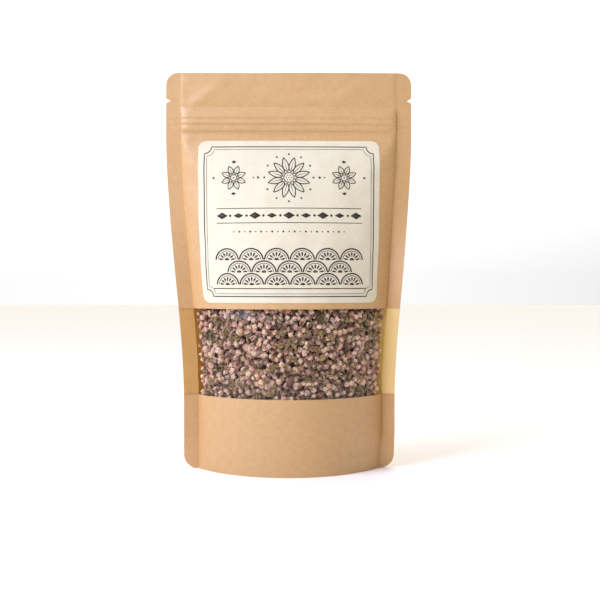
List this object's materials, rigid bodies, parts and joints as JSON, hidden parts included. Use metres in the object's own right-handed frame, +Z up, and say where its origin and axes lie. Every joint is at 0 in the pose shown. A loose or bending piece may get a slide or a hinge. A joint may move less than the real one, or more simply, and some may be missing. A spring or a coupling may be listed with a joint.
{
  "type": "stand-up pouch of dried heather flowers",
  "caption": "Kraft paper stand-up zip pouch with a clear window and a label, full of dried heather flowers; it stands on its folded foot.",
  "frame": {"origin": "centre of the base, on the surface that the pouch stands on", "axes": "+Z up towards the zip and the top seal, -Y towards the front with the window and the label, X along the width"},
  "size_m": [0.13, 0.0544, 0.21],
  "materials": {
    "kraft_paper": "matte",
    "clear_film": "gloss",
    "zip_plastic": "satin",
    "label_paper": "matte",
    "dried_heather": "matte"
  },
  "bodies": {
    "root": {"front_kraft_upper": "kraft_paper", "front_kraft_lower": "kraft_paper", "front_film": "clear_film", "back_panel": "kraft_paper", "bottom_gusset": "kraft_paper", "zip_groove_strip": "zip_plastic", "zip_rib_strip": "zip_plastic", "label": "label_paper", "heather_fill": "dried_heather"}
  },
  "joints": []
}
